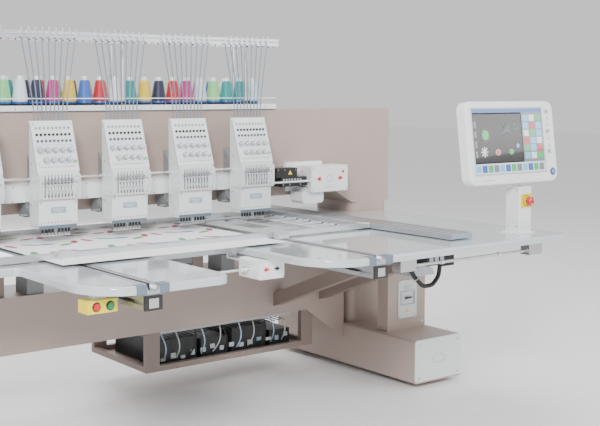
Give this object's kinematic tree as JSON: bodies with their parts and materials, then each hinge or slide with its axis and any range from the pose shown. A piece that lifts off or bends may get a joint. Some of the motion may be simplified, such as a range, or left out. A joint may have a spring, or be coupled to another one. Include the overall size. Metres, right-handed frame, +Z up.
{
  "type": "multi-head embroidery machine",
  "caption": "Wide multi-head embroidery machine with needle heads on a beam, a table with a moving sash frame, a thread rack and a control panel.",
  "frame": {"origin": "centre of the bounding box at floor level", "axes": "+X to the machine's right seen by the operator, +Y to the back, +Z up"},
  "size_m": [3.39, 1.7, 1.663],
  "materials": {
    "beige": "satin sheet paint",
    "white_paint": "smooth white paint",
    "plate_grey": "light grey paint",
    "dark_grey": "dark satin paint",
    "black_box": "matt black",
    "laminate": "glossy light grey laminate",
    "alu": "anodised",
    "steel": "ground",
    "chrome": "polished",
    "cast": "machined casting",
    "case_white": "white moulded covers",
    "clear": "clear knobs",
    "thread": "wound polyester thread in several colours",
    "cloth": "white woven cloth with stitched motifs",
    "rubber": "black rubber",
    "tube": "soft clear tube",
    "frosted": "frosted cover",
    "panel_white": "white moulded housing",
    "screen": "dark display",
    "yellow": "yellow",
    "red": "red",
    "green": "green",
    "blue": "blue"
  },
  "bodies": {
    "frame": {"upper_beam": "beige", "uprights": "beige", "lower_beam": "beige", "feet": "beige", "foot_end_plates": "plate_grey", "levelling_feet": "rubber", "leg_boxes": "beige", "table_struts": "beige", "lower_bay_frame": "beige", "control_boxes": "black_box", "table_top": "laminate", "y_rails": "alu", "x_drive_cover": "frosted", "head_arms": "cast", "shaft_covers": "white_paint", "main_motor": "dark_grey", "needle_plates": "steel", "hook_bases": "cast", "rack_tray": "white_paint", "thread_cones": "thread", "rack_frame": "alu", "thread_tubes": "tube", "colour_change_box": "white_paint", "colour_change_drive": "black_box", "panel_column": "white_paint", "emergency_stop_plate": "yellow", "switch_boxes": "white_paint", "front_bar": "alu", "breaker_panel": "plate_grey", "cable_bundle": "rubber"},
    "case_carriage": {"needle_cases": "case_white", "tension_plates": "case_white", "tension_knobs": "clear", "case_covers": "case_white", "case_links": "chrome", "idle_needle_sets": "chrome"},
    "needle_bars": {"active_needle_bars": "chrome"},
    "presser_feet": {"active_presser_feet": "chrome"},
    "take_up": {"active_take_up_levers": "chrome"},
    "handwheel": {"colour_change_handwheel": "blue"},
    "main_shaft": {"main_shaft": "steel"},
    "hook_shaft": {"hook_shaft": "steel"},
    "x_bar": {"x_bar": "alu"},
    "sash": {"sash_frame": "alu", "cloth": "cloth", "sash_clips": "clear"},
    "y_clamps": {"y_clamps": "clear"},
    "panel": {"panel_housing": "panel_white", "panel_screen": "screen"},
    "power_button": {"power_button": "blue"},
    "emergency_stop": {"emergency_stop_button": "red"},
    "start_bar": {"start_bar": "chrome"},
    "start_button": {"start_button": "green"},
    "stop_button": {"stop_button": "red"},
    "breaker_toggle": {"breaker_toggle": "blue"},
    "hook_1": {"rotary_hook_1": "steel"},
    "hook_2": {"rotary_hook_2": "steel"},
    "hook_3": {"rotary_hook_3": "steel"},
    "hook_4": {"rotary_hook_4": "steel"},
    "hook_5": {"rotary_hook_5": "steel"}
  },
  "joints": [
    {"name": "colour_change_slide", "type": "slide", "parent": "frame", "child": "case_carriage", "axis": [1, 0, 0], "range_m": [-0.0588, 0.0588]},
    {"name": "needle_bar_slide", "type": "slide", "parent": "case_carriage", "child": "needle_bars", "axis": [0, 0, 1], "range_m": [-0.024, 0]},
    {"name": "presser_foot_slide", "type": "slide", "parent": "case_carriage", "child": "presser_feet", "axis": [0, 0, 1], "range_m": [-0.021, 0]},
    {"name": "take_up_hinge", "type": "hinge", "parent": "case_carriage", "child": "take_up", "pos_m": [0, 0.128, 1.003], "axis": [1, 0, 0], "range_deg": [0, 32]},
    {"name": "handwheel_turn", "type": "hinge", "parent": "frame", "child": "handwheel", "pos_m": [1.27, 0.225, 0.9915], "axis": [1, 0, 0], "range_deg": [-1440, 1440]},
    {"name": "main_shaft_turn", "type": "hinge", "parent": "frame", "child": "main_shaft", "pos_m": [0, 0.255, 1], "axis": [1, 0, 0], "continuous": true},
    {"name": "hook_shaft_turn", "type": "hinge", "parent": "frame", "child": "hook_shaft", "pos_m": [0, 0.255, 0.695], "axis": [1, 0, 0], "continuous": true},
    {"name": "x_drive", "type": "slide", "parent": "frame", "child": "x_bar", "axis": [1, 0, 0], "range_m": [-0.165, 0.165]},
    {"name": "y_drive", "type": "slide", "parent": "x_bar", "child": "sash", "axis": [0, 1, 0], "range_m": [-0.225, 0.225]},
    {"name": "y_clamp_slide", "type": "slide", "parent": "frame", "child": "y_clamps", "axis": [0, 1, 0], "range_m": [-0.225, 0.225]},
    {"name": "panel_tilt", "type": "hinge", "parent": "frame", "child": "panel", "pos_m": [1.4585, -0.678, 1.05], "axis": [1, 0, 0], "range_deg": [-20, 5]},
    {"name": "power_press", "type": "slide", "parent": "panel", "child": "power_button", "axis": [0, 0.9925, -0.1219], "range_m": [0, 0.002], "stiffness_N_per_m": 400, "springref_m": -0.001},
    {"name": "emergency_press", "type": "slide", "parent": "frame", "child": "emergency_stop", "axis": [0, 1, 0], "range_m": [0, 0.005]},
    {"name": "start_bar_slide", "type": "slide", "parent": "frame", "child": "start_bar", "axis": [1, 0, 0], "range_m": [-0.012, 0.012], "stiffness_N_per_m": 900},
    {"name": "start_press", "type": "slide", "parent": "frame", "child": "start_button", "axis": [0, 1, 0], "range_m": [0, 0.004], "stiffness_N_per_m": 500, "springref_m": -0.001},
    {"name": "stop_press", "type": "slide", "parent": "frame", "child": "stop_button", "axis": [0, 1, 0], "range_m": [0, 0.004], "stiffness_N_per_m": 500, "springref_m": -0.001},
    {"name": "breaker_flip", "type": "hinge", "parent": "frame", "child": "breaker_toggle", "pos_m": [1.547, 0.029, 0.389], "axis": [1, 0, 0], "range_deg": [0, 50]},
    {"name": "hook_1_turn", "type": "hinge", "parent": "frame", "child": "hook_1", "pos_m": [-0.66, 0.173, 0.757], "axis": [0, 1, 0], "continuous": true},
    {"name": "hook_2_turn", "type": "hinge", "parent": "frame", "child": "hook_2", "pos_m": [-0.33, 0.173, 0.757], "axis": [0, 1, 0], "continuous": true},
    {"name": "hook_3_turn", "type": "hinge", "parent": "frame", "child": "hook_3", "pos_m": [0, 0.173, 0.757], "axis": [0, 1, 0], "continuous": true},
    {"name": "hook_4_turn", "type": "hinge", "parent": "frame", "child": "hook_4", "pos_m": [0.33, 0.173, 0.757], "axis": [0, 1, 0], "continuous": true},
    {"name": "hook_5_turn", "type": "hinge", "parent": "frame", "child": "hook_5", "pos_m": [0.66, 0.173, 0.757], "axis": [0, 1, 0], "continuous": true}
  ],
  "couplings": [
    {"joint": "handwheel_turn", "follows": "colour_change_slide", "rad_per_m": 427.43},
    {"joint": "y_clamp_slide", "follows": "y_drive", "ratio": 1},
    {"joint": "hook_shaft_turn", "follows": "main_shaft_turn", "ratio": 1},
    {"joint": "hook_1_turn", "follows": "main_shaft_turn", "ratio": 2},
    {"joint": "hook_2_turn", "follows": "main_shaft_turn", "ratio": 2},
    {"joint": "hook_3_turn", "follows": "main_shaft_turn", "ratio": 2},
    {"joint": "hook_4_turn", "follows": "main_shaft_turn", "ratio": 2},
    {"joint": "hook_5_turn", "follows": "main_shaft_turn", "ratio": 2}
  ]
}
